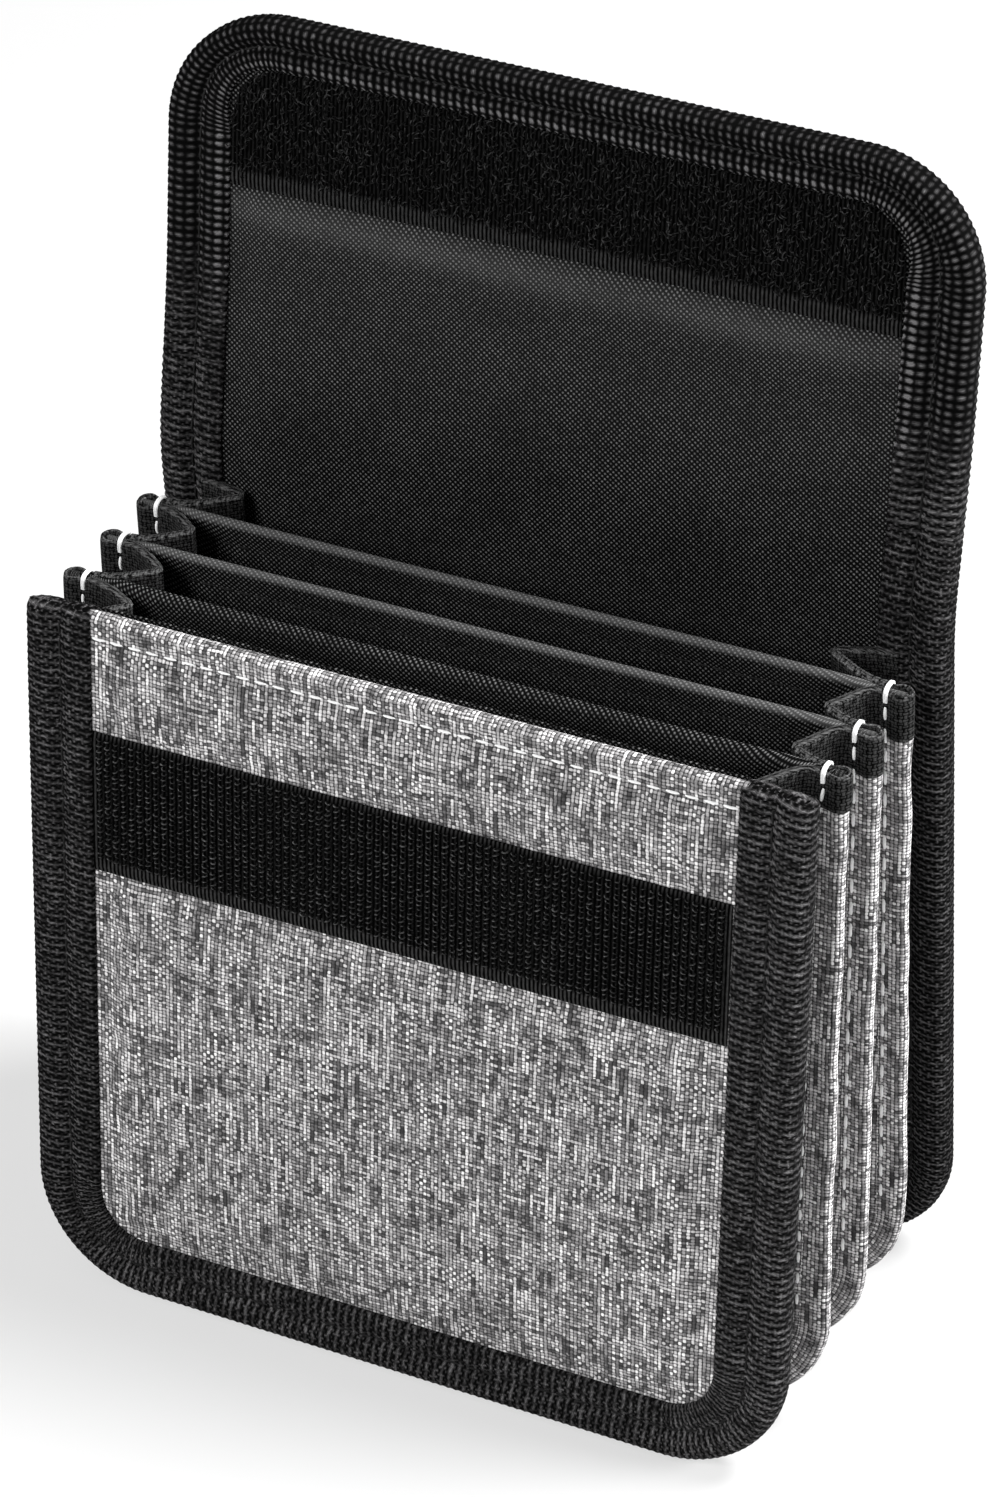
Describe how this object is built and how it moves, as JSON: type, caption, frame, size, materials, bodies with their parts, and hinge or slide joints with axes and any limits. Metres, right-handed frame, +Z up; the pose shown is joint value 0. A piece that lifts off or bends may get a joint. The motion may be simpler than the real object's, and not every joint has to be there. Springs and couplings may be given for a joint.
{
  "type": "camera filter pouch",
  "caption": "Padded fold-over pouch for camera filters: pleated gusset with dividers, taped edges, and a flap with a hook-and-loop strip.",
  "frame": {"origin": "middle of the footprint on the surface the case stands on", "axes": "+X to the right as seen from the front, -Y towards the front panel, +Z up through the pocket mouths"},
  "size_m": [0.1358, 0.0707, 0.2007],
  "materials": {
    "heather_cloth": "woven grey heather, matte",
    "foam_sheet": "closed-cell foam, matte",
    "black_twill": "fine black twill, slight sheen",
    "black_webbing": "ribbed black webbing, matte",
    "black_tape": "thin woven black tape, matte",
    "divider_board": "thin stiffener sheet, matte",
    "hook_tape": "nylon hook tape",
    "loop_tape": "brushed nylon loop tape",
    "white_thread": "white sewing thread"
  },
  "bodies": {
    "back": {"back_binding": "black_webbing", "back_cover": "heather_cloth", "back_foam": "foam_sheet", "back_lining": "black_twill", "back_fold_web": "black_webbing", "pleat_4_cloth": "heather_cloth", "pleat_4_lining": "black_twill", "pleat_4_tape_left": "black_tape", "pleat_4_tape_right": "black_tape"},
    "spine": {"spine_binding_left": "black_webbing", "spine_binding_right": "black_webbing", "spine_cover": "heather_cloth", "spine_foam": "foam_sheet", "spine_lining": "black_twill", "flap_fold_web": "black_webbing"},
    "flap": {"flap_binding": "black_webbing", "flap_cover": "heather_cloth", "flap_foam": "foam_sheet", "flap_lining": "black_twill", "loop_strip": "loop_tape"},
    "front": {"front_binding": "black_webbing", "front_cover": "heather_cloth", "front_foam": "foam_sheet", "front_lining": "black_twill", "front_hem_thread": "white_thread", "hook_strip": "hook_tape"},
    "divider_1": {"divider_1_board": "divider_board", "divider_1_lining": "black_twill", "divider_1_fold": "heather_cloth", "divider_1_tape_left": "black_tape", "divider_1_tape_right": "black_tape", "divider_1_thread_left": "white_thread", "divider_1_thread_right": "white_thread", "pleat_1_cloth": "heather_cloth", "pleat_1_lining": "black_twill", "pleat_1_tape_left": "black_tape", "pleat_1_tape_right": "black_tape"},
    "divider_2": {"divider_2_board": "divider_board", "divider_2_lining": "black_twill", "divider_2_fold": "heather_cloth", "divider_2_tape_left": "black_tape", "divider_2_tape_right": "black_tape", "divider_2_thread_left": "white_thread", "divider_2_thread_right": "white_thread", "pleat_2_cloth": "heather_cloth", "pleat_2_lining": "black_twill", "pleat_2_tape_left": "black_tape", "pleat_2_tape_right": "black_tape"},
    "divider_3": {"divider_3_board": "divider_board", "divider_3_lining": "black_twill", "divider_3_fold": "heather_cloth", "divider_3_tape_left": "black_tape", "divider_3_tape_right": "black_tape", "divider_3_thread_left": "white_thread", "divider_3_thread_right": "white_thread", "pleat_3_cloth": "heather_cloth", "pleat_3_lining": "black_twill", "pleat_3_tape_left": "black_tape", "pleat_3_tape_right": "black_tape"}
  },
  "joints": [
    {"name": "spine_fold", "type": "hinge", "parent": "back", "child": "spine", "pos_m": [0, 0.02299, 0.12766], "axis": [1, 0, 0], "range_deg": [-45, 100], "deforming": ["back_fold_web"]},
    {"name": "flap_fold", "type": "hinge", "parent": "spine", "child": "flap", "pos_m": [0, 0.02814, 0.15671], "axis": [1, 0, 0], "range_deg": [-45, 82.5], "deforming": ["flap_fold_web"]},
    {"name": "pocket_4_squeeze", "type": "slide", "parent": "back", "child": "divider_3", "axis": [0, 1, 0], "range_m": [-0.00263, 0.00585], "deforming": ["pleat_4_cloth", "pleat_4_lining", "pleat_4_tape_left", "pleat_4_tape_right"]},
    {"name": "pocket_3_squeeze", "type": "slide", "parent": "divider_3", "child": "divider_2", "axis": [0, 1, 0], "range_m": [-0.00264, 0.00586], "deforming": ["pleat_3_cloth", "pleat_3_lining", "pleat_3_tape_left", "pleat_3_tape_right"]},
    {"name": "pocket_2_squeeze", "type": "slide", "parent": "divider_2", "child": "divider_1", "axis": [0, 1, 0], "range_m": [-0.00264, 0.00586], "deforming": ["pleat_2_cloth", "pleat_2_lining", "pleat_2_tape_left", "pleat_2_tape_right"]},
    {"name": "pocket_1_squeeze", "type": "slide", "parent": "divider_1", "child": "front", "axis": [0, 1, 0], "range_m": [-0.00264, 0.00586], "deforming": ["pleat_1_cloth", "pleat_1_lining", "pleat_1_tape_left", "pleat_1_tape_right"]}
  ],
  "couplings": [
    {"joint": "spine_fold", "follows": "pocket_4_squeeze", "rad_per_m": 298.34},
    {"joint": "pocket_3_squeeze", "follows": "pocket_4_squeeze", "ratio": 1},
    {"joint": "pocket_2_squeeze", "follows": "pocket_4_squeeze", "ratio": 1},
    {"joint": "pocket_1_squeeze", "follows": "pocket_4_squeeze", "ratio": 1}
  ]
}
